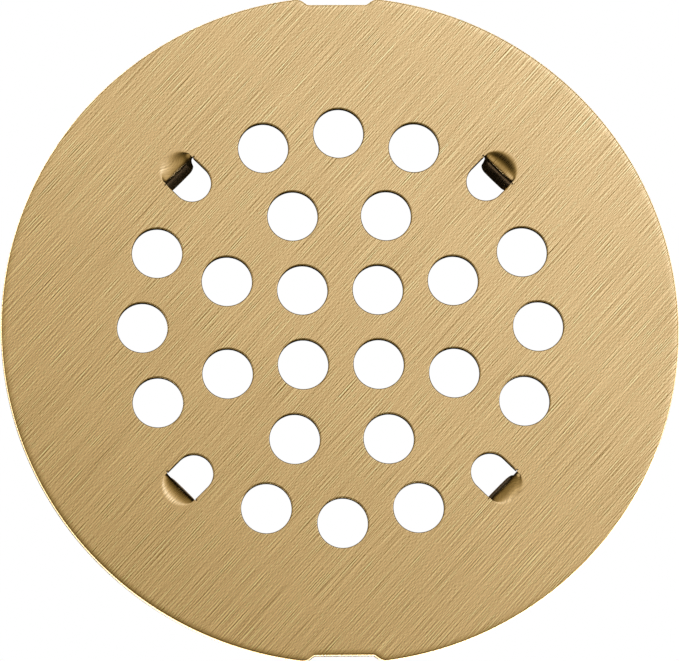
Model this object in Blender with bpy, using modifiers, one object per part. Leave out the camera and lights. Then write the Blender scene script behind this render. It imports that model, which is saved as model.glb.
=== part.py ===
"""Snap-in floor drain grate: a stamped round strainer plate with four sprung prongs.

Frame: metres, +Z up. The origin is the centre of the plate's underside, the face that seats on the
drain's ledge. The front is -Y, and the two pry notches are at the front and the rear.
The prongs are lanced out of the plate and bent down at its four diagonals. Each one flexes about
its bend, so each is a solid of its own, with its origin on its bend axis.
"""
import math

import bmesh
import bpy
from mathutils import Matrix, Vector

MM = 0.001

# Driving dimensions
PLATE_DIAMETER = 107.95 * MM         # 4-1/4 in
SHEET_THICKNESS = 1.2 * MM
RIM_ROLL_WIDTH = 2.4 * MM            # the punch rolls the rim's upper surface down a little
RIM_ROLL_DROP = 0.18 * MM
RIM_EDGE_ROUND = 0.2 * MM

HOLE_DIAMETER = 8.0 * MM
INNER_RING = (4, 8.5 * MM, 45.0)     # number of holes, ring radius, first hole's angle
MIDDLE_RING = (8, 19.5 * MM, 22.5)
OUTER_RING_RADIUS = 31.5 * MM        # sixteen places, four of them taken by the slots
OUTER_RING_PLACES = 16

PRONG_ANGLES = {
    "prong_rear_right": 45.0,
    "prong_rear_left": 135.0,
    "prong_front_left": 225.0,
    "prong_front_right": 315.0,
}
SLOT_HALF_WIDTH = 3.05 * MM
SLOT_INNER_RADIUS = 30.15 * MM       # plate centre to the slot's round inner end
BEND_LINE_RADIUS = 35.95 * MM        # plate centre to where the slot's straight sides end
BEND_CREST_RADIUS = 38.1 * MM        # plate centre to where the sheet starts to bend down

PRONG_HALF_WIDTH = 2.95 * MM
PRONG_FACE_RADIUS = 36.08 * MM       # plate centre to the prong's inner face, just under its bend
PRONG_LEG_LENGTH = 4.6 * MM          # along the inner face, from the bend to the tip
PRONG_OUT_LEAN = 3.0                 # degrees that the leg leans outward as it leaves the bend
PRONG_TIP_LEAN = 22.5                # degrees that it leans inward at its tip
PRONG_CORNER_RADIUS = 1.2 * MM
PRONG_GAP = 0.3 * MM                 # clearance between the plate and a prong

NOTCH_FLOOR_DISTANCE = 52.45 * MM    # plate centre to the notch's straight floor
NOTCH_FLOOR_HALF_WIDTH = 4.7 * MM
NOTCH_FLANK_SLOPE = 1.35             # sideways run for each unit of depth

# Smoothness
RIM_SEGMENTS = 96
HOLE_SEGMENTS = 24
ARC_SEGMENTS = 12
BEND_SEGMENTS = 8
LEG_SEGMENTS = 6
SMOOTH_ANGLE = math.radians(30.0)
OVERSHOOT = 1.0 * MM                 # how far a cutter runs past the faces that it cuts

BRUSHED_GOLD = (0.70, 0.50, 0.26, 1.0)
FORMED_GOLD = (0.58, 0.40, 0.20, 1.0)


def clear_scene():
    """Remove every object, so that the script can be run again in the same file."""
    for item in list(bpy.data.objects):
        bpy.data.objects.remove(item, do_unlink=True)


def new_collection(name):
    """A collection of this name in the scene."""
    collection = bpy.data.collections.new(name)
    bpy.context.scene.collection.children.link(collection)
    return collection


def metal(name, colour, roughness):
    """A Principled BSDF material for a coated metal."""
    material = bpy.data.materials.new(name)
    material.use_nodes = True
    shader = material.node_tree.nodes["Principled BSDF"]
    shader.inputs["Base Color"].default_value = colour
    shader.inputs["Metallic"].default_value = 1.0
    shader.inputs["Roughness"].default_value = roughness
    return material


def mark_as_cutter(cutter):
    """A cutter is drawn as a wire and isn't part of the object."""
    cutter.hide_render = True
    cutter.display_type = "WIRE"


def add_boolean(target, operation, cutter):
    """Cut, join or intersect the target with a cutter."""
    modifier = target.modifiers.new(operation.title() + " " + cutter.name, "BOOLEAN")
    modifier.operation = operation
    modifier.solver = "EXACT"
    modifier.object = cutter


def arc(centre_x, centre_y, radius, start, end, segments):
    """Points along an arc, its two ends included. The angles are in degrees."""
    points = []
    for step in range(segments + 1):
        angle = math.radians(start + (end - start) * step / segments)
        points.append((centre_x + radius * math.cos(angle), centre_y + radius * math.sin(angle)))
    return points


def outline_solid(name, outline, low, high, collection, turn=None):
    """A closed flat outline made into a solid from height low to height high, then turned."""
    curve = bpy.data.curves.new(name, "CURVE")
    curve.dimensions = "2D"
    curve.fill_mode = "BOTH"
    curve.extrude = (high - low) / 2
    spline = curve.splines.new("POLY")
    spline.points.add(len(outline) - 1)
    for point, (x, y) in zip(spline.points, outline):
        point.co = (x, y, 0.0, 1.0)
    spline.use_cyclic_u = True
    sketch = bpy.data.objects.new(name + "_sketch", curve)
    bpy.context.scene.collection.objects.link(sketch)

    evaluated = sketch.evaluated_get(bpy.context.evaluated_depsgraph_get())
    mesh = bpy.data.meshes.new_from_object(evaluated)
    mesh.name = name
    bpy.data.objects.remove(sketch, do_unlink=True)
    bpy.data.curves.remove(curve)

    body = bmesh.new()
    body.from_mesh(mesh)
    bmesh.ops.remove_doubles(body, verts=body.verts, dist=0.001 * MM)
    bmesh.ops.translate(body, verts=body.verts, vec=Vector((0.0, 0.0, (low + high) / 2)))
    if turn is not None:
        bmesh.ops.transform(body, matrix=turn, verts=body.verts)
    bmesh.ops.recalc_face_normals(body, faces=body.faces)
    body.to_mesh(mesh)
    body.free()
    solid = bpy.data.objects.new(name, mesh)
    collection.objects.link(solid)
    return solid


def hole_places():
    """Centres of the round holes, ring by ring from the middle."""
    places = []
    for count, radius, first in (INNER_RING, MIDDLE_RING):
        for index in range(count):
            places.append((radius, first + 360.0 * index / count))
    for index in range(OUTER_RING_PLACES):
        angle = 360.0 * index / OUTER_RING_PLACES
        if angle not in PRONG_ANGLES.values():
            places.append((OUTER_RING_RADIUS, angle))
    return places


def hole_cutter(collection):
    """Every round hole's punch, as one object."""
    body = bmesh.new()
    for radius, angle in hole_places():
        turn = Matrix.Rotation(math.radians(angle), 4, "Z")
        move = Matrix.Translation((radius, 0.0, SHEET_THICKNESS / 2))
        bmesh.ops.create_cone(
            body,
            cap_ends=True,
            segments=HOLE_SEGMENTS,
            radius1=HOLE_DIAMETER / 2,
            radius2=HOLE_DIAMETER / 2,
            depth=SHEET_THICKNESS + 2 * OVERSHOOT,
            matrix=turn @ move,
        )
    mesh = bpy.data.meshes.new("hole_punches")
    body.to_mesh(mesh)
    body.free()
    cutter = bpy.data.objects.new("hole_punches", mesh)
    collection.objects.link(cutter)
    mark_as_cutter(cutter)
    return cutter


def slot_outline(inset):
    """Lance slot at angle 0 with its bend crescent, each wall moved in by inset.

    The inner end is a half circle, the sides are straight, and the outer end is the flatter arc
    where the sheet starts to bend down into the prong.
    """
    end_centre = SLOT_INNER_RADIUS + SLOT_HALF_WIDTH
    inner_end = arc(end_centre, 0.0, SLOT_HALF_WIDTH - inset, 90.0, 270.0, ARC_SEGMENTS)
    rise = BEND_CREST_RADIUS - BEND_LINE_RADIUS
    crest_radius = (SLOT_HALF_WIDTH ** 2 + rise ** 2) / (2 * rise)
    crest_centre = BEND_CREST_RADIUS - crest_radius
    half_width = SLOT_HALF_WIDTH - inset
    half_angle = math.degrees(math.asin(half_width / (crest_radius - inset)))
    outer_end = arc(crest_centre, 0.0, crest_radius - inset, -half_angle, half_angle, ARC_SEGMENTS)
    return inner_end + outer_end


def notch_outline():
    """Pry notch at the rear, from its straight floor out past the rim."""
    depth = PLATE_DIAMETER / 2 + OVERSHOOT - NOTCH_FLOOR_DISTANCE
    mouth_half_width = NOTCH_FLOOR_HALF_WIDTH + NOTCH_FLANK_SLOPE * depth
    mouth = NOTCH_FLOOR_DISTANCE + depth
    return [
        (NOTCH_FLOOR_HALF_WIDTH, NOTCH_FLOOR_DISTANCE),
        (mouth_half_width, mouth),
        (-mouth_half_width, mouth),
        (-NOTCH_FLOOR_HALF_WIDTH, NOTCH_FLOOR_DISTANCE),
    ]


def plate_blank():
    """The round blank, its rim rolled down and its edges rounded."""
    body = bmesh.new()
    bmesh.ops.create_cone(
        body,
        cap_ends=True,
        segments=RIM_SEGMENTS,
        radius1=PLATE_DIAMETER / 2,
        radius2=PLATE_DIAMETER / 2,
        depth=SHEET_THICKNESS,
        matrix=Matrix.Translation((0.0, 0.0, SHEET_THICKNESS / 2)),
    )
    top = max(body.faces, key=lambda face: face.calc_center_median().z)
    rim = list(top.verts)
    bmesh.ops.inset_region(body, faces=[top], thickness=RIM_ROLL_WIDTH, use_even_offset=True)
    for vertex in rim:
        if vertex.co.xy.length > PLATE_DIAMETER / 2 - RIM_ROLL_WIDTH / 2:
            vertex.co.z -= RIM_ROLL_DROP
    mesh = bpy.data.meshes.new("strainer_plate")
    body.to_mesh(mesh)
    body.free()
    return mesh


def make_plate(parts, cutters):
    """The strainer plate with its holes, slots and notches."""
    plate = bpy.data.objects.new("strainer_plate", plate_blank())
    parts.objects.link(plate)

    rounding = plate.modifiers.new("Rounded rim", "BEVEL")
    rounding.width = RIM_EDGE_ROUND
    rounding.segments = 2
    rounding.limit_method = "ANGLE"
    rounding.angle_limit = math.radians(45.0)

    add_boolean(plate, "DIFFERENCE", hole_cutter(cutters))
    low = -OVERSHOOT
    high = SHEET_THICKNESS + OVERSHOOT
    for name, angle in PRONG_ANGLES.items():
        turn = Matrix.Rotation(math.radians(angle), 4, "Z")
        cutter = outline_solid("slot_for_" + name, slot_outline(0.0), low, high, cutters, turn)
        mark_as_cutter(cutter)
        add_boolean(plate, "DIFFERENCE", cutter)
    for name, angle in (("notch_rear", 0.0), ("notch_front", 180.0)):
        turn = Matrix.Rotation(math.radians(angle), 4, "Z")
        cutter = outline_solid(name, notch_outline(), low, high, cutters, turn)
        mark_as_cutter(cutter)
        add_boolean(plate, "DIFFERENCE", cutter)

    plate.data.materials.append(metal("brushed_gold", BRUSHED_GOLD, 0.3))
    plate.data.shade_smooth()
    plate.data.set_sharp_from_angle(angle=SMOOTH_ANGLE)
    return plate


def prong_path():
    """Stations down the prong's inner face, from the plate's top: point and outward normal.

    The first stretch is a quarter-round bend of the sheet. The leg under it is one shallow arc
    that leaves the bend leaning outward and ends leaning inward.
    """
    bend_radius = BEND_CREST_RADIUS - PRONG_FACE_RADIUS
    centre = (BEND_CREST_RADIUS, SHEET_THICKNESS - bend_radius)
    bend_end = 90.0 - PRONG_OUT_LEAN
    stations = []
    for step in range(BEND_SEGMENTS + 1):
        angle = math.radians(bend_end * step / BEND_SEGMENTS)
        toward_face = (-math.sin(angle), math.cos(angle))
        point = (centre[0] + bend_radius * toward_face[0], centre[1] + bend_radius * toward_face[1])
        stations.append((point, (-toward_face[0], -toward_face[1])))

    x, z = stations[-1][0]
    piece = PRONG_LEG_LENGTH / LEG_SEGMENTS
    turn = PRONG_OUT_LEAN + PRONG_TIP_LEAN
    for step in range(LEG_SEGMENTS):
        middle = math.radians(PRONG_OUT_LEAN - turn * (step + 0.5) / LEG_SEGMENTS)
        x += piece * math.sin(middle)
        z -= piece * math.cos(middle)
        lean = math.radians(PRONG_OUT_LEAN - turn * (step + 1) / LEG_SEGMENTS)
        stations.append(((x, z), (math.cos(lean), math.sin(lean))))
    return stations


def prong_side_outline():
    """The bent sheet seen along the bend: distance from the plate's centre, and height."""
    stations = prong_path()
    inner = [point for point, normal in stations]
    outer = []
    for (x, z), (normal_x, normal_z) in stations:
        outer.append((x + SHEET_THICKNESS * normal_x, z + SHEET_THICKNESS * normal_z))
    return inner + outer[::-1]


def prong_front_outline(tip_height):
    """The prong seen from the plate's centre: across, and height. Its tip corners are round."""
    side = PRONG_HALF_WIDTH - PRONG_CORNER_RADIUS
    corner_height = tip_height + PRONG_CORNER_RADIUS
    top = SHEET_THICKNESS + OVERSHOOT
    left = arc(-side, corner_height, PRONG_CORNER_RADIUS, 180.0, 270.0, ARC_SEGMENTS // 2)
    right = arc(side, corner_height, PRONG_CORNER_RADIUS, 270.0, 360.0, ARC_SEGMENTS // 2)
    return [(-PRONG_HALF_WIDTH, top)] + left + right + [(PRONG_HALF_WIDTH, top)]


def prong_keep_out(cutters):
    """The plate around the slot at angle 0, grown by the gap, so that the prong clears it."""
    low = -PRONG_GAP
    high = SHEET_THICKNESS + OVERSHOOT
    reach = PLATE_DIAMETER / 2
    across = 2 * PRONG_HALF_WIDTH + 2 * OVERSHOOT
    block = [(0.0, -across / 2), (reach, -across / 2), (reach, across / 2), (0.0, across / 2)]
    keep_out = outline_solid("prong_keep_out", block, low, high, cutters)
    window = outline_solid(
        "prong_window",
        slot_outline(PRONG_GAP),
        low - OVERSHOOT,
        high + OVERSHOOT,
        cutters,
    )
    mark_as_cutter(window)
    mark_as_cutter(keep_out)
    add_boolean(keep_out, "DIFFERENCE", window)
    return keep_out


def bend_axis():
    """Distance from the plate's centre and height of the axis that a prong flexes about.

    It is the middle of the sheet, half way round the bend.
    """
    point, normal = prong_path()[BEND_SEGMENTS // 2]
    half = SHEET_THICKNESS / 2
    return point[0] + half * normal[0], point[1] + half * normal[1]


def prong_mesh(cutters):
    """One prong at angle 0, with its origin on its bend axis."""
    side_outline = prong_side_outline()
    tip_height = min(z for x, z in side_outline)
    upright = Matrix.Rotation(math.radians(90.0), 4, "X")
    across = PRONG_HALF_WIDTH + OVERSHOOT
    blank = outline_solid("prong_blank", side_outline, -across, across, cutters, upright)

    facing = Matrix.Rotation(math.radians(90.0), 4, "Z") @ upright
    far = PLATE_DIAMETER / 2
    silhouette = outline_solid(
        "prong_silhouette", prong_front_outline(tip_height), 0.0, far, cutters, facing
    )
    mark_as_cutter(silhouette)
    add_boolean(blank, "INTERSECT", silhouette)
    add_boolean(blank, "DIFFERENCE", prong_keep_out(cutters))

    evaluated = blank.evaluated_get(bpy.context.evaluated_depsgraph_get())
    mesh = bpy.data.meshes.new_from_object(evaluated)
    mesh.name = "prong"
    bpy.data.objects.remove(blank, do_unlink=True)

    axis_radius, axis_height = bend_axis()
    mesh.transform(Matrix.Translation((-axis_radius, 0.0, -axis_height)))
    mesh.shade_smooth()
    mesh.set_sharp_from_angle(angle=SMOOTH_ANGLE)
    mesh.materials.clear()
    mesh.materials.append(metal("formed_gold", FORMED_GOLD, 0.25))
    return mesh


def make_prongs(parts, cutters):
    """Four prongs that share a mesh, each under an empty on its bend axis."""
    mesh = prong_mesh(cutters)
    axis_radius, axis_height = bend_axis()
    for name, angle in PRONG_ANGLES.items():
        turn = math.radians(angle)
        pivot = bpy.data.objects.new(name + "_pivot", None)
        pivot.location = (axis_radius * math.cos(turn), axis_radius * math.sin(turn), axis_height)
        pivot.rotation_euler = (0.0, 0.0, turn)
        parts.objects.link(pivot)
        prong = bpy.data.objects.new(name, mesh)
        prong.parent = pivot
        parts.objects.link(prong)


def main():
    clear_scene()
    parts = new_collection("floor_drain_grate")
    cutters = new_collection("cutters")
    make_plate(parts, cutters)
    make_prongs(parts, cutters)


main()
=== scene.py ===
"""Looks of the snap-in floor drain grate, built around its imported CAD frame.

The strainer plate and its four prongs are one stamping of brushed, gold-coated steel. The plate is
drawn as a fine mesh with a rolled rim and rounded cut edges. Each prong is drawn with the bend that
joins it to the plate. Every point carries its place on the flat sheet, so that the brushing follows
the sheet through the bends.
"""
import math

import bpy
import numpy as np
from mathutils import Matrix, Quaternion, Vector
from mathutils.geometry import delaunay_2d_cdt


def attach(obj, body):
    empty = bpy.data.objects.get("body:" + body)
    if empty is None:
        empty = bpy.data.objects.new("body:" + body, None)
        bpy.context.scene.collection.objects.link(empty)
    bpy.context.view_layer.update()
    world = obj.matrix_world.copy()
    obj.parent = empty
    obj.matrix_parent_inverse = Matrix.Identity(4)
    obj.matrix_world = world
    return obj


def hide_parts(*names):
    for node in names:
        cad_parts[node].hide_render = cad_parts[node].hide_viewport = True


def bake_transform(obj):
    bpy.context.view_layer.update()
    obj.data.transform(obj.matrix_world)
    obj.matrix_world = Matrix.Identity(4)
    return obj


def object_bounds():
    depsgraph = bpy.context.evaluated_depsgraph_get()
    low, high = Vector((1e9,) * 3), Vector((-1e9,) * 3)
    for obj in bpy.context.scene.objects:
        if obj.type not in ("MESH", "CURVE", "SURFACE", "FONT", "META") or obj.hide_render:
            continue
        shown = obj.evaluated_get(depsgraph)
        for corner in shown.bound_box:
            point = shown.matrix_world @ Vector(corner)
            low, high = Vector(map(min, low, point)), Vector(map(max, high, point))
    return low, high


MM = 0.001
WHITE = (1.0, 1.0, 1.0)

# All sizes of the object are in millimetres. The meshes are made in millimetres and scaled to
# metres at the end.
THICKNESS = 1.2

# Hole pattern
HOLE_RADIUS = 4.0
INNER_RING = (4, 8.5, 45.0)           # number of holes, ring radius, first hole's angle
MIDDLE_RING = (8, 19.5, 22.5)
OUTER_RING_RADIUS = 31.5
OUTER_RING_PLACES = 16                # 12 holes and the 4 lance slots
PRONG_ANGLES = {
    "prong_rear_right": 45.0,
    "prong_rear_left": 135.0,
    "prong_front_left": 225.0,
    "prong_front_right": 315.0,
}

# Lance slot and bend, at angle 0: distances from the plate's centre
SLOT_HALF_WIDTH = 3.05
SLOT_INNER_RADIUS = 30.15
NICK_HALF_WIDTH = 0.08                # a short tear to each side where the lance cut stops
NICK_REACH = 0.3
NICK_PLACE = 36.0
SLOT_EDGE_FADE = (0.7, 0.2)           # how much of the slot's rounding is left just before a nick
CREST_END_RADIUS = 36.6               # where the crest of the bend meets the slot's side
CREST_RADIUS = 39.15                  # the middle of the crest
SEAM_RADIUS = 39.4                    # the prong's piece takes the flat sheet up to here with it
FACE_RADIUS = 36.08                   # the prong's inner face, under its bend
BEND_HEIGHT_MIDDLE = 1.65             # how far the bend comes down, at its middle and its sides
BEND_HEIGHT_SIDE = 0.6
UNDERSIDE_FILLET = 0.45

# Prong. Unfolded, it is a flat end in the plate, the bend, a short drop and the leg.
PRONG_HALF_WIDTH = 2.95
NARROWING_LENGTH = 0.5                # the last of the drop, where the prong narrows to this width
BEND_LENGTH = 2.4
DROP_LENGTH = 0.8
LEG_START_HEIGHT = -0.55
LEG_LENGTH = 4.75
LEG_OUT_LEAN = 3.0                    # degrees: the leg starts outward, and its tip points inward
LEG_TIP_LEAN = 22.5
TIP_CORNER_RADIUS = 1.2
TIP_BULGE = 0.12                      # how much farther the middle of the tip reaches
PRONG_EDGE = 0.1                      # rounding of the prong's free edges

# Pry notches
NOTCH_FLOOR = 52.66
NOTCH_FLOOR_HALF_WIDTH = 4.7
NOTCH_FLANK_SLOPE = 1.35
NOTCH_SHOULDER_RADIUS = 2.0
NOTCH_CORNER_RADIUS = 0.7

# Cut edges of the plate
HOLE_EDGE = (0.2, 0.18)               # how far the rounding reaches in, and down from the top
RIM_WALL_LEAN = 5.0                   # degrees that the sheared rim wall leans in
RIM_WALL_FOOT = 1.05                  # how far under the top face the lean starts
RIM_EDGE_RADIUS = 0.24
RIM_ROLL_WIDTH = 1.4                  # the top face bends down over this width
RIM_ROLL_DROP = 0.045
RIM_MARGIN = 1.0                      # what is this far inside the roll isn't the rim's
UNDER_EDGE = 0.06                     # bevel of the underside's edges
SUPPORT = 0.03                        # a flat strip inside each rounding keeps the shading flat

# Smoothness: segments of curves, and steps along edges
HOLE_SEGMENTS = 72
RIM_SEGMENTS = 420
NOTCH_SHOULDER_STEPS = 14
NOTCH_CORNER_STEPS = 8
NOTCH_FLOOR_STEPS = 13
SLOT_END_SEGMENTS = 48
SLOT_SIDE_STEPS = 8
SLOT_COLUMNS = 24
NICK_SEGMENTS = 8
SEAM_ROWS = 6
HOLE_EDGE_STEPS = 6
RIM_EDGE_STEPS = 8
PRONG_EDGE_STEPS = 3
LEG_SIDE_STEPS = 27
TIP_CORNER_STEPS = 12
TIP_STEPS = 7
PRONG_ROWS = (4, 16, 4, 24)           # of points in the flat end, the bend, the drop and the leg
RIM_ROLL_ROWS = (0.5, 0.6, 0.7, 0.8, 0.9, 1.0, 1.12, 1.25, RIM_ROLL_WIDTH, RIM_ROLL_WIDTH + 0.1)
ROW_CLEARANCE = 0.97                  # a point nearer the rim than this share of its row's is dropped
SAME_PLACE = 0.002                    # points closer than this are one
SMALL_STEP = 0.02                     # for finding which way the prong's sheet runs
SHARP_ANGLE = 30.0                    # degrees between faces, above which an edge isn't smoothed

# Finish
GOLD = (0.778, 0.551, 0.265)
GRAIN_TINT = (0.9, 1.0, 1.25)         # a bright streak is paler, a dark one deeper
BRUSH_ANGLE = 47.6
STREAKS = (                           # along and across the brushing in mm, seed, weight
    (0.5, 0.07, 1.0, 1.0),
    (6.5, 0.07, 2.0, 1.4),
    (20.0, 0.09, 3.0, 1.0),
    (26.0, 0.8, 4.0, 0.08),
    (80.0, 5.0, 5.0, 0.06),
)
GROOVE_SPACING = 0.165                # a fine groove has a ridge this far beside it
HAIRLINES = ((30.0, 0.14, 6.0, 1.6), (26.0, 0.15, 7.0, -2.0))
HAIRLINE_LIMIT = 0.2
PLATE_GRAIN = 0.63                    # how strongly the grain shows in colour
FORMED_GRAIN = 0.32
GRAIN_GLOSS = -0.1                    # and in roughness
GRAIN_DEPTH = 0.0003                  # and its relief
SEED_SHIFT = (17.3, 9.1)              # how far apart two seeds' patterns are
BRUSHED_ROUGHNESS = 0.22
BRUSHED_ANISOTROPY = 0.6
RIM_WALL_SHARE = 0.1                  # how much of a punched wall's look, its painted shade too, the rim's wall has
PAINTED_WALL_SHADE = 0.07                 # painted shade: a punched wall's colour, as a share of the face's
CUT_WALL_ROUGHNESS = 0.25             # and how much rougher than the face it is

# Studio light. Directions are azimuth, anticlockwise from +X, and elevation, in degrees.
WARM = (1.03, 0.82, 0.27)             # the light's colour where it is dim
COOL = (1.0, 1.085, 1.375)            # and where it is full
FULL_LIGHT = 1.4
KEY_LIGHT = 1.85                      # strength of the light overhead
KEY_WIDE = 0.65                       # share that falls off from overhead to the horizon
KEY_FALL = 3.5                        # the power of that fall
KEY_CORE_HEIGHT = (0.85, 1.0)         # heights over which the rest of it fades in
SHADES = (                            # direction, core angle, edge angle, depth
    (218.5, 72.0, 10.0, 39.0, 0.87),
    (214.0, 70.0, 8.0, 24.0, 0.9),
    (282.0, 58.0, 14.0, 44.0, 0.75),
    (120.0, 45.0, 12.0, 40.0, 0.25),
)
WINDOWS = (                           # direction, core angle, edge angle, strength
    (184.0, 16.0, 8.0, 30.0, 0.75),
    (222.0, 36.0, 9.0, 36.0, 0.21),
    (343.0, 36.0, 10.0, 42.0, 0.39),
    (90.0, 20.0, 8.0, 30.0, 0.2),
    (262.0, 18.0, 8.0, 38.0, 0.32),
    (45.0, 14.0, 8.0, 32.0, 0.08),
    (0.0, 12.0, 8.0, 34.0, 0.25),
    (130.0, 18.0, 8.0, 32.0, 0.16),
    (225.0, 17.0, 8.0, 28.0, 0.1),
)

# Stage. A dark floor, painted as the plate's shadow, shows through the hole in a white one, with a
# thin bright card under each slot.
BACKDROP_RADIUS = 4500.0
STAGE_SEGMENTS = 96
DARK_FLOOR_SHADE = (0.06, 0.06, 0.06)
DARK_FLOOR_RADIUS = 80.0
# The white floor's hole outlines the painted shadow round the plate
SURROUND_PLACE = (-1.3, 0.9)          # the middle of the white floor's hole
SURROUND_RADIUS = 55.9                # the hole's radius,
SURROUND_SWELL = (12.0, 65.0)         # which is this much larger towards this azimuth
SURROUND_REACH = 3000.0               # the white floor's own radius
SURROUND_LIFT = 0.01                  # how far it is above the dark floor
SURROUND_LIGHT = 3.1
SLOT_GLOW = (34.95, 0.1, 2.6, 0.25)   # place, half width, half length and strength of a card
SLOT_GLOW_COLOUR = (1.0, 0.85, 0.7)
SLOT_GLOW_LIFT = 0.05

# Camera
CAMERA_PLACE = Vector((-0.036955, -0.175528, 0.951252))     # in metres, as is the next
CAMERA_AIM = Vector((-0.000185, -0.000609, 0.0012))
CAMERA_ROLL = 11.4234                 # degrees
CAMERA_LENS = 322.43


# ---------------------------------------------------------------- outlines

def arc(centre, radius, start, end, segments):
    """Points along an arc in the plane, its two ends included. The angles are in degrees."""
    angles = np.radians(np.linspace(start, end, segments + 1))
    return np.c_[centre[0] + radius * np.cos(angles), centre[1] + radius * np.sin(angles)]


def turned(points, degrees):
    """Plane points turned about the plate's centre."""
    angle = math.radians(degrees)
    c, s = math.cos(angle), math.sin(angle)
    return np.c_[points[:, 0] * c - points[:, 1] * s, points[:, 0] * s + points[:, 1] * c]


def without_repeats(points):
    """A closed outline without points that repeat the one before."""
    step = np.linalg.norm(points - np.roll(points, 1, axis=0), axis=1)
    return points[step > SAME_PLACE]


def inset(points, distance):
    """A closed outline moved to the left of its direction, into the sheet, by distance."""
    before = points - np.roll(points, 1, axis=0)
    after = np.roll(points, -1, axis=0) - points
    before = before / np.linalg.norm(before, axis=1)[:, None]
    after = after / np.linalg.norm(after, axis=1)[:, None]
    along = before + after
    along = along / np.linalg.norm(along, axis=1)[:, None]
    left = np.c_[-along[:, 1], along[:, 0]]
    facing = np.sum(left * np.c_[-before[:, 1], before[:, 0]], axis=1)
    # At a sharp corner, a point moves at most twice the distance
    return points + left * (distance / np.clip(facing, 0.5, 1.0))[:, None]


def outline_distance(points, outline):
    """How far each point is from a closed outline."""
    start = outline
    span = np.roll(outline, -1, axis=0) - start
    along = np.einsum("pij,ij->pi", points[:, None, :] - start[None], span) / np.sum(span ** 2, axis=1)
    nearest = start[None] + np.clip(along, 0.0, 1.0)[..., None] * span[None]
    return np.linalg.norm(points[:, None, :] - nearest, axis=2).min(axis=1)


def is_inside(points, outline):
    """Which points are inside a closed outline."""
    x, y = points[:, 0][:, None], points[:, 1][:, None]
    x0, y0 = outline[:, 0][None], outline[:, 1][None]
    x1, y1 = np.roll(outline[:, 0], -1)[None], np.roll(outline[:, 1], -1)[None]
    spans = (y0 > y) != (y1 > y)
    # A level edge never spans y, so its rise only has to be something to divide by
    rise = np.where(y1 == y0, 1.0, y1 - y0)
    crossing = x0 + (y - y0) * (x1 - x0) / rise
    return np.sum(spans & (x < crossing), axis=1) % 2 == 1


def notch_half(rim_radius):
    """Right half of the rear notch, from its floor out to the rim, and the angle it ends at."""
    slope = Vector((NOTCH_FLANK_SLOPE, 1.0)).normalized()
    into_sheet = Vector((slope.y, -slope.x))
    shoulder = NOTCH_SHOULDER_RADIUS
    start = Vector((NOTCH_FLOOR_HALF_WIDTH, NOTCH_FLOOR)) + shoulder * into_sheet
    along = start.dot(slope)
    reach = math.sqrt(along ** 2 - start.length_squared + (rim_radius - shoulder) ** 2) - along
    centre = start + reach * slope
    rim_angle = math.degrees(math.atan2(centre.y, centre.x))
    flank_angle = math.degrees(math.atan2(slope.y, slope.x))
    shoulder_arc = arc(centre, shoulder, flank_angle + 90.0, rim_angle, NOTCH_SHOULDER_STEPS)

    back = NOTCH_CORNER_RADIUS * math.tan(math.radians(flank_angle) / 2)
    corner_centre = (NOTCH_FLOOR_HALF_WIDTH - back, NOTCH_FLOOR + NOTCH_CORNER_RADIUS)
    corner_end = flank_angle - 90.0
    corner_arc = arc(corner_centre, NOTCH_CORNER_RADIUS, -90.0, corner_end, NOTCH_CORNER_STEPS)
    floor_places = np.linspace(0.0, corner_arc[0, 0], NOTCH_FLOOR_STEPS + 1)[:-1]
    floor = np.c_[floor_places, np.full(len(floor_places), NOTCH_FLOOR)]
    return np.vstack([floor, corner_arc, shoulder_arc]), rim_angle


def rim_outline(rim_radius):
    """The plate's outline with its two notches, anticlockwise."""
    half, rim_angle = notch_half(rim_radius)
    segments = round(RIM_SEGMENTS * rim_angle / 180)
    side = arc((0.0, 0.0), rim_radius, -rim_angle, rim_angle, segments)
    rear = np.vstack([half[::-1], half[1:] * (-1.0, 1.0)])
    return without_repeats(np.vstack([side, rear, -side, -rear]))


def hole_outlines():
    """The round holes, each one clockwise."""
    places = []
    for count, radius, first in (INNER_RING, MIDDLE_RING):
        for index in range(count):
            places.append((radius, first + 360.0 * index / count))
    for index in range(OUTER_RING_PLACES):
        angle = 360.0 * index / OUTER_RING_PLACES
        if angle not in PRONG_ANGLES.values():
            places.append((OUTER_RING_RADIUS, angle))
    return [
        turned(arc((radius, 0.0), HOLE_RADIUS, 360.0, 0.0, HOLE_SEGMENTS)[:-1], angle)
        for radius, angle in places
    ]


def crest_distance(across):
    """How far the bend's crest is from the plate's centre, at a place across the prong."""
    rise = CREST_RADIUS - CREST_END_RADIUS
    radius = (SLOT_HALF_WIDTH ** 2 + rise ** 2) / (2 * rise)
    return CREST_RADIUS - radius + np.sqrt(radius ** 2 - across ** 2)


def columns():
    """Places across the prong, from its left side to its right."""
    return np.linspace(-SLOT_HALF_WIDTH, SLOT_HALF_WIDTH, SLOT_COLUMNS + 1)


def seam_outline():
    """The seam between plate and prong piece at angle 0, from the slot's left side to its right."""
    side = np.linspace(CREST_END_RADIUS, SEAM_RADIUS, SEAM_ROWS + 1)
    across = columns()[::-1]
    left = np.c_[side, np.full(len(side), SLOT_HALF_WIDTH)]
    end = np.c_[np.full(len(across), SEAM_RADIUS), across]
    right = (left * (1.0, -1.0))[::-1]
    return np.vstack([left, end[1:-1], right])


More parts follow.
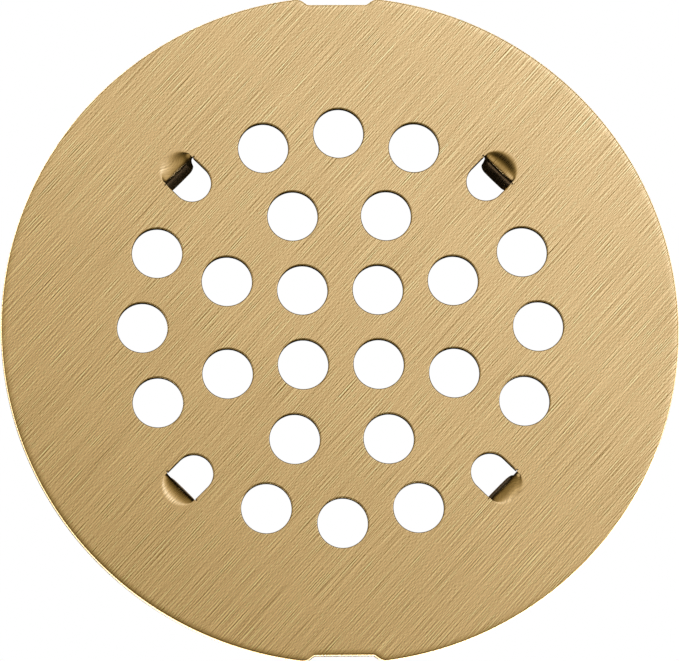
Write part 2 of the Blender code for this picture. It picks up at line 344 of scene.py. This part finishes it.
def opening_outline():
    """The plate's opening at angle 0, clockwise, and how much of its edge's rounding is left.

    The rounding fades out round the relief nicks, and there is none on the seam.
    """
    end = SLOT_INNER_RADIUS + SLOT_HALF_WIDTH
    round_end = arc((end, 0.0), SLOT_HALF_WIDTH, 270.0, 90.0, SLOT_END_SEGMENTS)
    nick_tip = (NICK_PLACE, SLOT_HALF_WIDTH + NICK_REACH)
    nick = arc(nick_tip, NICK_HALF_WIDTH, 180.0, 0.0, NICK_SEGMENTS)
    places = np.linspace(end, NICK_PLACE - NICK_HALF_WIDTH, SLOT_SIDE_STEPS + 1)[1:]
    side = np.c_[places, np.full(len(places), SLOT_HALF_WIDTH)]
    nick_end = (NICK_PLACE + NICK_HALF_WIDTH, SLOT_HALF_WIDTH)
    upper = np.vstack([side, nick, nick_end])
    lower = (upper * (1.0, -1.0))[::-1]
    seam = seam_outline()
    points = np.vstack([round_end, upper, seam, lower])
    full = np.ones(len(side) - len(SLOT_EDGE_FADE))
    fade = np.concatenate([full, SLOT_EDGE_FADE, np.zeros(len(nick) + 1)])
    roundness = np.concatenate([np.ones(len(round_end)), fade, np.zeros(len(seam)), fade[::-1]])
    return points, roundness


# ---------------------------------------------------------------- sheet metal

def rounding(reach, depth, steps):
    """Stations of a rounded edge, from the cut inward: how far in, and how far off the face."""
    angles = np.linspace(0.0, math.pi / 2, steps + 1)
    stations = [(reach * (1 - math.cos(a)), depth * (1 - math.sin(a))) for a in angles]
    return stations + [(reach + SUPPORT, 0.0)]


def rim_stations():
    """Stations of the rim's edge: a wall that leans in a little, rounded over to the top face."""
    lean = math.radians(RIM_WALL_LEAN)
    radius = RIM_EDGE_RADIUS
    reach = (RIM_WALL_FOOT - radius * (1 - math.sin(lean))) * math.tan(lean)
    stations = [(0.0, RIM_WALL_FOOT)]
    for a in np.linspace(lean, math.pi / 2, RIM_EDGE_STEPS + 1):
        distance = reach + radius * (math.cos(lean) - math.cos(a))
        stations.append((distance, radius * (1 - math.sin(a))))
    return stations + [(stations[-1][0] + SUPPORT, 0.0)]


def join_rings(faces, first, second):
    """Faces between two rings of vertex numbers. Where they share a vertex, the face narrows."""
    count = len(first)
    for j in range(count):
        k = (j + 1) % count
        face = list(dict.fromkeys((first[j], first[k], second[k], second[j])))
        if len(face) > 2:
            faces.append(face)


def edge_rings(points, roundness, stations, height, sign, vertices):
    """Rings of vertices that round a cut edge. Where its roundness is 0, the edge stays square."""
    rings = []
    for reach, depth in stations:
        moved = inset(points, reach * roundness)
        ring = []
        for j in range(len(points)):
            if roundness[j] == 0.0 and rings:
                ring.append(rings[0][j])
                continue
            ring.append(len(vertices))
            vertices.append((moved[j][0], moved[j][1], height + sign * depth * roundness[j]))
        rings.append(ring)
    return rings


def fill_face(vertices, faces, rings, outlines, free_points, height, upward):
    """Triangles over a flat face between its edges, through the free points inside it."""
    numbers = [n for ring in rings for n in ring]
    for x, y in free_points:
        numbers.append(len(vertices))
        vertices.append((x, y, height))
    edges = []
    start = 0
    for ring in rings:
        count = len(ring)
        edges += [(start + j, start + (j + 1) % count) for j in range(count)]
        start += count
    plane = [Vector(vertices[n][:2]) for n in numbers]
    made = delaunay_2d_cdt(plane, edges, [], 1, 1e-6)
    places, triangles, sources = made[0], made[2], made[3]
    corners = np.array([tuple(p) for p in places])
    triangles = np.array([t for t in triangles])
    middles = corners[triangles].mean(axis=1)
    keep = is_inside(middles, outlines[0])
    for outline in outlines[1:]:
        keep &= ~is_inside(middles, outline)
    for triangle in triangles[keep]:
        a, b, c = corners[triangle]
        face = [numbers[sources[t][0]] for t in triangle]
        turn = (b[0] - a[0]) * (c[1] - a[1]) - (b[1] - a[1]) * (c[0] - a[0])
        if (turn > 0) != upward:
            face.reverse()
        faces.append(face)


def sheet_solid(loops, top_points, under_points, under_stations):
    """A flat sheet with rounded edges, as vertices, faces and how far each vertex is a cut wall's.

    Each loop is its outline, the roundness of its edge by point, and its upper edge's stations.
    The first loop is the outer one. The sheet is on the left of every loop.
    """
    vertices, faces, top_rings, under_rings = [], [], [], []
    walls = {}
    for points, roundness, stations in loops:
        top = edge_rings(points, roundness, stations, THICKNESS, -1.0, vertices)
        under = edge_rings(points, roundness, under_stations, 0.0, 1.0, vertices)
        for outer, inner in zip(top, top[1:]):
            join_rings(faces, outer, inner)
        for outer, inner in zip(under, under[1:]):
            join_rings(faces, inner, outer)
        join_rings(faces, under[0], top[0])
        walls.update(zip(top[0] + under[0], list(roundness) * 2))
        top_rings.append(top[-1])
        under_rings.append(under[-1])
    for rings, free, height, upward in (
        (top_rings, top_points, THICKNESS, True),
        (under_rings, under_points, 0.0, False),
    ):
        outlines = [np.array([vertices[n][:2] for n in ring]) for ring in rings]
        fill_face(vertices, faces, rings, outlines, free, height, upward)
    cut_wall = np.array([walls.get(n, 0.0) for n in range(len(vertices))])
    return np.array(vertices), faces, cut_wall


def mesh_piece(name, vertices, faces, cut_wall, flat_place, across_brush):
    """A smooth-shaded mesh object from millimetre vertices, with its finish's attributes."""
    mesh = bpy.data.meshes.new(name)
    mesh.from_pydata((vertices * MM).tolist(), [], faces)
    attribute = mesh.attributes.new("cut_wall", "FLOAT", "POINT")
    attribute.data.foreach_set("value", np.asarray(cut_wall, np.float32))
    for label, values in (("flat_place", flat_place), ("across_brush", across_brush)):
        attribute = mesh.attributes.new(label, "FLOAT_VECTOR", "POINT")
        attribute.data.foreach_set("vector", np.asarray(values, np.float32).ravel())
    mesh.validate()
    mesh.shade_smooth()
    mesh.set_sharp_from_angle(angle=math.radians(SHARP_ANGLE))
    piece = bpy.data.objects.new(name, mesh)
    bpy.context.scene.collection.objects.link(piece)
    return piece


def across_brush_in_plane():
    """Unit vector in the plate's plane, square to the brushing."""
    angle = math.radians(BRUSH_ANGLE + 90.0)
    return np.array([math.cos(angle), math.sin(angle)])


def roll_points(outline):
    """Points along the rim, row by row inward, for the roll to bend over."""
    kept = []
    for distance in RIM_ROLL_ROWS:
        row = inset(outline, distance)
        kept.append(row[outline_distance(row, outline) > ROW_CLEARANCE * distance])
    return np.vstack(kept)


def make_plate(rim_radius):
    """The strainer plate, with its rim rolled down and every cut edge rounded."""
    rim = rim_outline(rim_radius)
    hole_stations = rounding(*HOLE_EDGE, HOLE_EDGE_STEPS)
    loops = [(rim, np.ones(len(rim)), rim_stations())]
    for outline in hole_outlines():
        loops.append((outline, np.ones(len(outline)), hole_stations))
    opening, roundness = opening_outline()
    for angle in PRONG_ANGLES.values():
        loops.append((turned(opening, angle), roundness, hole_stations))
    under_stations = [(0.0, UNDER_EDGE), (UNDER_EDGE, 0.0)]
    vertices, faces, cut_wall = sheet_solid(loops, roll_points(rim), [], under_stations)

    near_rim = np.hypot(vertices[:, 0], vertices[:, 1]) > NOTCH_FLOOR - RIM_ROLL_WIDTH - RIM_MARGIN
    rolled = near_rim & (vertices[:, 2] > THICKNESS / 2)
    distance = outline_distance(vertices[rolled, :2], rim)
    share = np.clip(1 - distance / RIM_ROLL_WIDTH, 0.0, 1.0)
    vertices[rolled, 2] -= RIM_ROLL_DROP * share ** 3

    # The rim's wall loses its grain and keeps only a little of the painted shade
    cut_wall[near_rim] *= RIM_WALL_SHARE
    flat_place = vertices * (1.0, 1.0, 0.0)
    across = across_brush_in_plane()
    across_brush = np.tile([across[0], across[1], 0.0], (len(vertices), 1))
    return mesh_piece("brushed_strainer_plate", vertices, faces, cut_wall, flat_place, across_brush)


# ---------------------------------------------------------------- prongs

# A row is a distance down the unfolded prong, and these are the rows where its parts end
FLAT_END = SEAM_RADIUS - CREST_END_RADIUS
BEND_END = FLAT_END + BEND_LENGTH
DROP_END = BEND_END + DROP_LENGTH
TIP_END = DROP_END + LEG_LENGTH


def share_between(row, start, end):
    """How far a row is from start to end, from 0 to 1."""
    return np.clip((row - start) / (end - start), 0.0, 1.0)


def prong_outline():
    """The unfolded prong, anticlockwise, as row and place across, and its edge's roundness by point.

    Row 0 is the end that joins the plate.
    """
    side_rows = np.linspace(0.0, FLAT_END, SEAM_ROWS + 1)
    leg_rows = np.linspace(FLAT_END, TIP_END - TIP_CORNER_RADIUS, LEG_SIDE_STEPS + 1)[1:-1]
    corner_centre = (TIP_END - TIP_CORNER_RADIUS, SLOT_HALF_WIDTH - TIP_CORNER_RADIUS)
    corner = arc(corner_centre, TIP_CORNER_RADIUS, 90.0, 0.0, TIP_CORNER_STEPS)
    across = np.linspace(corner[-1, 1], 0.0, TIP_STEPS + 1)[1:]
    left = np.vstack([
        np.c_[side_rows, np.full(len(side_rows), SLOT_HALF_WIDTH)],
        np.c_[leg_rows, np.full(len(leg_rows), SLOT_HALF_WIDTH)],
        corner,
        np.c_[np.full(len(across), TIP_END), across],
    ])
    right = (left * (1.0, -1.0))[::-1]
    end = np.c_[np.zeros(SLOT_COLUMNS - 1), columns()[1:-1]]
    points = np.vstack([left[::-1], end[::-1], right[:0:-1]])
    return points, share_between(points[:, 0], FLAT_END, BEND_END)


def prong_grid(outline):
    """Points inside the unfolded prong, in rows and columns."""
    ends = (0.0, FLAT_END, BEND_END, DROP_END, TIP_END)
    rows = np.concatenate([
        np.linspace(start, end, count + 1)[1:]
        for start, end, count in zip(ends, ends[1:], PRONG_ROWS)
    ])
    grid = np.array([(row, across) for row in rows for across in columns()[1:-1]])
    grid = grid[is_inside(grid, outline)]
    return grid[outline_distance(grid, outline) > PRONG_EDGE + 2 * SUPPORT]


def leg_point(distance):
    """Place, and outward normal, at a distance down the leg's inner face: a shallow arc."""
    turn = math.radians(LEG_OUT_LEAN + LEG_TIP_LEAN)
    start = math.radians(LEG_OUT_LEAN)
    radius = LEG_LENGTH / turn
    lean = start - distance / radius
    x = FACE_RADIUS + radius * (np.cos(lean) - math.cos(start))
    z = LEG_START_HEIGHT - radius * (math.sin(start) - np.sin(lean))
    return np.c_[x, z], np.c_[np.cos(lean), np.sin(lean)]


def bend_point(crest, share):
    """Place on the upper surface at a share of the way round the bend, a quarter of an ellipse."""
    widest = CREST_RADIUS - FACE_RADIUS
    reach = crest - FACE_RADIUS
    height = BEND_HEIGHT_SIDE + (BEND_HEIGHT_MIDDLE - BEND_HEIGHT_SIDE) * reach / widest
    angle = math.pi / 2 * share
    return np.c_[crest - reach * np.sin(angle), THICKNESS - height * (1 - np.cos(angle))]


def prong_part(row, on_flat, on_bend, on_drop, on_leg):
    """Each row's place, out of its places on the four parts of the prong."""
    place = np.where((row > FLAT_END)[:, None], on_bend, on_flat)
    place = np.where((row > BEND_END)[:, None], on_drop, place)
    return np.where((row > DROP_END)[:, None], on_leg, place)


def upper_surface(row, across):
    """Places of the prong's upper surface, in its upright plane, at rows down it."""
    crest = crest_distance(across)
    flat = share_between(row, 0.0, FLAT_END)
    on_flat = np.c_[SEAM_RADIUS + (crest - SEAM_RADIUS) * flat, np.full(len(row), THICKNESS)]
    on_bend = bend_point(crest, share_between(row, FLAT_END, BEND_END))
    leg_start = np.array([FACE_RADIUS, LEG_START_HEIGHT])
    on_drop = on_bend + (leg_start - on_bend) * share_between(row, BEND_END, DROP_END)[:, None]
    on_leg, _ = leg_point(np.clip(row - DROP_END, 0.0, LEG_LENGTH))
    return prong_part(row, on_flat, on_bend, on_drop, on_leg)


def under_surface(row):
    """The same for its under surface, which has a small fillet for a bend."""
    fillet_centre = FACE_RADIUS + THICKNESS + UNDERSIDE_FILLET
    flat = share_between(row, 0.0, FLAT_END)
    on_flat = np.c_[SEAM_RADIUS + (fillet_centre - SEAM_RADIUS) * flat, np.zeros(len(row))]
    angle = share_between(row, FLAT_END, BEND_END) * math.pi / 2
    on_bend = np.c_[
        fillet_centre - UNDERSIDE_FILLET * np.sin(angle),
        -UNDERSIDE_FILLET * (1 - np.cos(angle)),
    ]
    lean = math.radians(LEG_OUT_LEAN)
    leg_start = np.array([FACE_RADIUS, LEG_START_HEIGHT])
    leg_start = leg_start + THICKNESS * np.array([math.cos(lean), math.sin(lean)])
    on_drop = on_bend + (leg_start - on_bend) * share_between(row, BEND_END, DROP_END)[:, None]
    inner, normal = leg_point(np.clip(row - DROP_END, 0.0, LEG_LENGTH))
    return prong_part(row, on_flat, on_bend, on_drop, inner + THICKNESS * normal)


def fold_prong(flat):
    """The unfolded prong's points (row, across, height in the sheet) bent to shape at angle 0."""
    row, across, height = flat.T
    tip_share = np.clip((row - DROP_END) / LEG_LENGTH, 0.0, 1.0)
    row = row - TIP_BULGE * tip_share * (across / SLOT_HALF_WIDTH) ** 2
    upper = upper_surface(row, across)
    under = under_surface(row)
    place = under + (upper - under) * (height / THICKNESS)[:, None]
    narrowing = np.clip((row - DROP_END) / NARROWING_LENGTH + 1.0, 0.0, 1.0)
    width = 1 + (PRONG_HALF_WIDTH / SLOT_HALF_WIDTH - 1) * narrowing ** 2 * (3 - 2 * narrowing)
    return np.c_[place[:, 0], across * width, place[:, 1]]


def unfolded_distance(row, across):
    """How far along the sheet a row is from the plate's centre, as if the prong lay flat."""
    crest = crest_distance(across)
    on_flat = SEAM_RADIUS + (crest - SEAM_RADIUS) * share_between(row, 0.0, FLAT_END)
    return np.where(row > FLAT_END, crest - (row - FLAT_END), on_flat)


def make_prong(name, angle):
    """One prong with the bend above it, in its place round the plate."""
    outline, roundness = prong_outline()
    stations = rounding(PRONG_EDGE, PRONG_EDGE, PRONG_EDGE_STEPS)
    grid = prong_grid(outline)
    # Through the bend and down the leg, the prong's cut walls get the painted shade too
    flat, faces, cut_wall = sheet_solid([(outline, roundness, stations)], grid, grid, stations)
    folded = fold_prong(flat)
    # The unfolded rows run toward the centre, which mirrors the sheet
    faces = [face[::-1] for face in faces]

    down_sheet = fold_prong(flat + (SMALL_STEP, 0.0, 0.0)) - folded
    down_sheet /= np.maximum(np.linalg.norm(down_sheet, axis=1), 1e-9)[:, None]
    turn = math.radians(angle)
    c, s = math.cos(turn), math.sin(turn)
    across = across_brush_in_plane()
    radial_part = across[0] * c + across[1] * s
    side_part = -across[0] * s + across[1] * c
    across_brush = -radial_part * down_sheet + side_part * np.array([0.0, 1.0, 0.0])
    rotation = np.array([[c, -s, 0.0], [s, c, 0.0], [0.0, 0.0, 1.0]])

    flat_place = np.c_[unfolded_distance(flat[:, 0], flat[:, 1]), flat[:, 1], np.zeros(len(flat))]
    return mesh_piece(
        "brushed_" + name,
        folded @ rotation.T,
        faces,
        cut_wall,
        flat_place @ rotation.T,
        across_brush @ rotation.T,
    )


# ---------------------------------------------------------------- material

class Nodes:
    """A node tree, with short calls to add and link nodes."""

    def __init__(self, owner):
        owner.use_nodes = True
        self.tree = owner.node_tree

    def add(self, kind, inputs=None, **settings):
        """A new node. Its inputs are numbers, colours, or the outputs of other nodes."""
        node = self.tree.nodes.new(kind)
        for key, value in settings.items():
            setattr(node, key, value)
        for key, value in (inputs or {}).items():
            if isinstance(value, bpy.types.NodeSocket):
                self.tree.links.new(value, node.inputs[key])
            else:
                node.inputs[key].default_value = value
        return node

    def math(self, operation, first, second):
        """The result of an operation on two numbers."""
        return self.add("ShaderNodeMath", {0: first, 1: second}, operation=operation).outputs[0]

    def vector(self, operation, first, second):
        """The result of an operation on two vectors."""
        return self.add("ShaderNodeVectorMath", {0: first, 1: second}, operation=operation).outputs[0]

    def scaled(self, vector, factor):
        """A vector times a number."""
        inputs = {"Vector": vector, "Scale": factor}
        return self.add("ShaderNodeVectorMath", inputs, operation="SCALE").outputs[0]

    def smooth(self, value, low, high):
        """0 below low, 1 above high, and smooth in between."""
        inputs = {"Value": value, "From Min": low, "From Max": high}
        node = self.add("ShaderNodeMapRange", inputs, interpolation_type="SMOOTHSTEP")
        return node.outputs[0]

    def attribute(self, name, output="Vector"):
        """One of the mesh's attributes."""
        return self.add("ShaderNodeAttribute", attribute_name=name).outputs[output]


def streak_noise(nodes, place, along, across, seed):
    """Noise drawn out along the brushing, about zero. Its grain is along by across, in mm."""
    stretched = nodes.vector("MULTIPLY", place, (1 / along, 1 / across, 0.0))
    moved = nodes.vector("ADD", stretched, (SEED_SHIFT[0] * seed, SEED_SHIFT[1] * seed, 0.0))
    inputs = {"Vector": moved, "Scale": 1.0, "Detail": 0.0}
    noise = nodes.add("ShaderNodeTexNoise", inputs, noise_dimensions="2D")
    return nodes.math("SUBTRACT", noise.outputs[0], 0.5)


def hairlines(nodes, place, along, across, seed):
    """Isolated lines: 0 over most of the surface, and more than that on a line."""
    noise = streak_noise(nodes, place, along, across, seed)
    over = nodes.math("SUBTRACT", noise, HAIRLINE_LIMIT)
    return nodes.math("MAXIMUM", over, 0.0)


def brushed_grain(nodes):
    """The brushing's pattern on the flat sheet: fine streaks, longer bands and a few hairlines."""
    inputs = {"Vector": nodes.attribute("flat_place"), "Angle": math.radians(-BRUSH_ANGLE)}
    place = nodes.add("ShaderNodeVectorRotate", inputs, rotation_type="Z_AXIS").outputs[0]
    ridge_place = nodes.vector("ADD", place, (0.0, GROOVE_SPACING, 0.0))
    grain = 0.0
    for along, across, seed, weight in STREAKS:
        layer = streak_noise(nodes, place, along, across, seed)
        if across < GROOVE_SPACING:
            ridges = streak_noise(nodes, ridge_place, along, across, seed)
            layer = nodes.math("SUBTRACT", layer, ridges)
        grain = nodes.math("ADD", grain, nodes.math("MULTIPLY", layer, weight))
    for along, across, seed, weight in HAIRLINES:
        layer = hairlines(nodes, place, along, across, seed)
        grain = nodes.math("ADD", grain, nodes.math("MULTIPLY", layer, weight))
    return grain


def brushed_gold(name, contrast):
    """Gold-coated steel, brushed one way. Contrast is how strongly the grain shows in its colour."""
    material = bpy.data.materials.new(name)
    nodes = Nodes(material)
    shader = nodes.tree.nodes["Principled BSDF"]
    grain = brushed_grain(nodes)

    cut_wall = nodes.attribute("cut_wall", "Fac")
    off_wall = nodes.math("SUBTRACT", 1.0, nodes.smooth(cut_wall, 0.0, RIM_WALL_SHARE))
    strength = nodes.math("MULTIPLY", off_wall, contrast)
    shade = nodes.scaled(GRAIN_TINT, nodes.math("MULTIPLY", grain, strength))
    streaked = nodes.vector("MULTIPLY", nodes.vector("ADD", shade, WHITE), GOLD)
    # Painted shade: the cut walls' colour is darkened almost to black
    painted_wall_shade = nodes.math("SUBTRACT", 1.0, nodes.math("MULTIPLY", cut_wall, 1.0 - PAINTED_WALL_SHADE))
    colour = nodes.scaled(streaked, painted_wall_shade)
    nodes.tree.links.new(colour, shader.inputs["Base Color"])

    gloss = nodes.math("ADD", nodes.math("MULTIPLY", grain, GRAIN_GLOSS), BRUSHED_ROUGHNESS)
    rough = nodes.math("ADD", gloss, nodes.math("MULTIPLY", cut_wall, CUT_WALL_ROUGHNESS))
    nodes.tree.links.new(rough, shader.inputs["Roughness"])
    relief = nodes.math("MULTIPLY", grain, off_wall)
    inputs = {"Height": relief, "Strength": 1.0, "Distance": GRAIN_DEPTH * MM}
    bump = nodes.add("ShaderNodeBump", inputs)
    nodes.tree.links.new(bump.outputs[0], shader.inputs["Normal"])
    nodes.tree.links.new(nodes.attribute("across_brush"), shader.inputs["Tangent"])

    shader.inputs["Metallic"].default_value = 1.0
    shader.inputs["Anisotropic"].default_value = BRUSHED_ANISOTROPY
    return material


# ---------------------------------------------------------------- stage

def emission(name, colour, strength):
    """A plain glowing material."""
    material = bpy.data.materials.new(name)
    material.use_nodes = True
    tree = material.node_tree
    tree.nodes.clear()
    glow = tree.nodes.new("ShaderNodeEmission")
    glow.inputs["Color"].default_value = (*colour, 1.0)
    glow.inputs["Strength"].default_value = strength
    output = tree.nodes.new("ShaderNodeOutputMaterial")
    tree.links.new(glow.outputs[0], output.inputs[0])
    return material


def matte(name, colour):
    """A plain matte material."""
    material = bpy.data.materials.new(name)
    material.use_nodes = True
    shader = material.node_tree.nodes["Principled BSDF"]
    shader.inputs["Base Color"].default_value = (*colour, 1.0)
    shader.inputs["Roughness"].default_value = 1.0
    shader.inputs["Specular IOR Level"].default_value = 0.0
    return material


def stage_piece(piece, name, material, camera_only):
    """Names an object, gives it its material, and lets the camera only, or everything else only, see
    it.
    """
    piece.name = name
    piece.data.materials.append(material)
    piece.visible_camera = camera_only
    for way in ("diffuse", "glossy", "transmission", "volume_scatter", "shadow"):
        setattr(piece, "visible_" + way, not camera_only)


def make_backdrop():
    """A white backdrop all round, which only the camera sees."""
    white = emission("white_backdrop", WHITE, 1.0)
    bpy.ops.mesh.primitive_uv_sphere_add(segments=48, ring_count=24, radius=BACKDROP_RADIUS * MM)
    stage_piece(bpy.context.object, "studio_backdrop", white, True)


def make_dark_floor(height):
    """The floor under the plate, painted dark as its shadow, which only the metal reflects."""
    bpy.ops.mesh.primitive_circle_add(
        vertices=STAGE_SEGMENTS,
        radius=DARK_FLOOR_RADIUS * MM,
        fill_type="NGON",
        location=(0.0, 0.0, height),
    )
    dark = matte("painted_shadow_floor", DARK_FLOOR_SHADE)
    stage_piece(bpy.context.object, "floor_under_plate", dark, False)


def make_surround(height):
    """The white floor round the plate, which only the metal reflects: a wide ring."""
    count = STAGE_SEGMENTS
    turns = [math.radians(360.0 * j / count) for j in range(count)]
    swell, azimuth = SURROUND_SWELL
    facing = [max(0.0, math.cos(t - math.radians(azimuth))) for t in turns]
    inner = [(SURROUND_RADIUS + swell * f) * MM for f in facing]
    outer = [SURROUND_REACH * MM] * count
    corners = [(r * math.cos(t), r * math.sin(t), 0.0) for r, t in zip(inner + outer, turns * 2)]
    faces = [(j, count + j, count + (j + 1) % count, (j + 1) % count) for j in range(count)]
    ring = bpy.data.meshes.new("white_surround")
    ring.from_pydata(corners, [], faces)
    surround = bpy.data.objects.new("white_surround", ring)
    surround.location = (SURROUND_PLACE[0] * MM, SURROUND_PLACE[1] * MM, height)
    bpy.context.scene.collection.objects.link(surround)
    white = emission("white_surround", WHITE, SURROUND_LIGHT)
    stage_piece(surround, "white_surround", white, False)


def make_slot_glows(height):
    """Four thin bright cards, one under each slot, which only glossy metal reflects."""
    place, half_width, half_length, strength = SLOT_GLOW
    glow = emission("slot_glow", SLOT_GLOW_COLOUR, strength)
    for degrees in PRONG_ANGLES.values():
        angle = math.radians(degrees)
        centre = Matrix.Rotation(angle, 4, "Z") @ Vector((place * MM, 0.0, height))
        bpy.ops.mesh.primitive_plane_add(size=2.0, location=centre, rotation=(0.0, 0.0, angle))
        card = bpy.context.object
        card.scale = (half_width * MM, half_length * MM, 1.0)
        stage_piece(card, "slot_glow_card", glow, False)
        card.visible_diffuse = False


def toward(azimuth, elevation):
    """Unit vector toward an azimuth, anticlockwise from +X, and an elevation. Both in degrees."""
    a, e = math.radians(azimuth), math.radians(elevation)
    return (math.cos(a) * math.cos(e), math.sin(a) * math.cos(e), math.sin(e))


def patch(nodes, direction, place, core, edge):
    """1 within the core angle of a place in the sky, fading to 0 at the edge angle."""
    inputs = {0: direction, 1: toward(*place)}
    facing = nodes.add("ShaderNodeVectorMath", inputs, operation="DOT_PRODUCT").outputs["Value"]
    return nodes.smooth(facing, math.cos(math.radians(edge)), math.cos(math.radians(core)))


def key_light(nodes, direction, height):
    """The light overhead, with the shades that darken it on the camera's side."""
    shade = 1.0
    for azimuth, elevation, core, edge, depth in SHADES:
        spot = patch(nodes, direction, (azimuth, elevation), core, edge)
        dark = nodes.math("MULTIPLY", spot, depth)
        shade = nodes.math("MULTIPLY", shade, nodes.math("SUBTRACT", 1.0, dark))
    up = nodes.math("MAXIMUM", height, 0.0)
    wide = nodes.math("MULTIPLY", nodes.math("POWER", up, KEY_FALL), KEY_WIDE)
    middle = nodes.math("MULTIPLY", nodes.smooth(height, *KEY_CORE_HEIGHT), 1.0 - KEY_WIDE)
    return nodes.math("MULTIPLY", nodes.math("ADD", wide, middle), shade)


def window_light(nodes, direction):
    """The dimmer lights round the sides."""
    light = 0.0
    for azimuth, elevation, core, edge, strength in WINDOWS:
        spot = patch(nodes, direction, (azimuth, elevation), core, edge)
        light = nodes.math("ADD", light, nodes.math("MULTIPLY", spot, strength))
    return light


def make_light():
    """A soft studio all round, as the world: bright overhead, and dimmer and warmer at the sides."""
    world = bpy.data.worlds.new("studio_light")
    nodes = Nodes(world)
    direction = nodes.add("ShaderNodeTexCoord").outputs["Generated"]
    height = nodes.add("ShaderNodeSeparateXYZ", {0: direction}).outputs["Z"]
    key = key_light(nodes, direction, height)
    fill = window_light(nodes, direction)
    amount = nodes.math("ADD", nodes.math("MULTIPLY", key, KEY_LIGHT), fill)
    fullness = nodes.math("DIVIDE", amount, FULL_LIGHT)
    tint = nodes.add("ShaderNodeMix", {"Factor": fullness, "A": WARM, "B": COOL}, data_type="VECTOR")
    light = nodes.scaled(tint.outputs["Result"], amount)
    background = nodes.tree.nodes["Background"]
    nodes.tree.links.new(light, background.inputs["Color"])
    bpy.context.scene.world = world


def make_camera():
    """The camera, above the plate and a little to the front, turned about its axis."""
    data = bpy.data.cameras.new("camera")
    data.sensor_width = 36.0
    data.lens = CAMERA_LENS
    data.clip_start = 0.05
    data.clip_end = 20.0
    camera = bpy.data.objects.new("camera", data)
    look = (CAMERA_AIM - CAMERA_PLACE).to_track_quat("-Z", "Y")
    camera.rotation_mode = "QUATERNION"
    camera.rotation_quaternion = look @ Quaternion((0.0, 0.0, 1.0), math.radians(CAMERA_ROLL))
    camera.location = CAMERA_PLACE
    bpy.context.scene.collection.objects.link(camera)
    bpy.context.scene.camera = camera
    bpy.context.scene.view_settings.view_transform = "Standard"


# ---------------------------------------------------------------- the whole

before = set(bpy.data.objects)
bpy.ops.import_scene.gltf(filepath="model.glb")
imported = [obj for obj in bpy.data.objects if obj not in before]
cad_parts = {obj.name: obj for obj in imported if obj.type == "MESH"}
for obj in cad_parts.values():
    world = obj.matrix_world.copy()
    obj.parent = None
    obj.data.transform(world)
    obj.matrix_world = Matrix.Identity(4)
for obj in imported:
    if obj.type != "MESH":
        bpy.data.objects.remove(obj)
cad_low, cad_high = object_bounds()

make_camera()
make_backdrop()
make_dark_floor(cad_low.z)
make_surround(cad_low.z + SURROUND_LIFT * MM)
make_slot_glows(cad_low.z + SLOT_GLOW_LIFT * MM)
make_light()

plate_gold = brushed_gold("brushed_gold_plate", PLATE_GRAIN)
prong_gold = brushed_gold("brushed_gold_formed", FORMED_GRAIN)

plate = make_plate(cad_high.x / MM)
plate.data.materials.append(plate_gold)
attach(plate, "plate")
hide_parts("strainer_plate")

for prong_name, prong_angle in PRONG_ANGLES.items():
    prong = make_prong(prong_name, prong_angle)
    prong.data.materials.append(prong_gold)
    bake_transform(prong)
    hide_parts(prong_name)
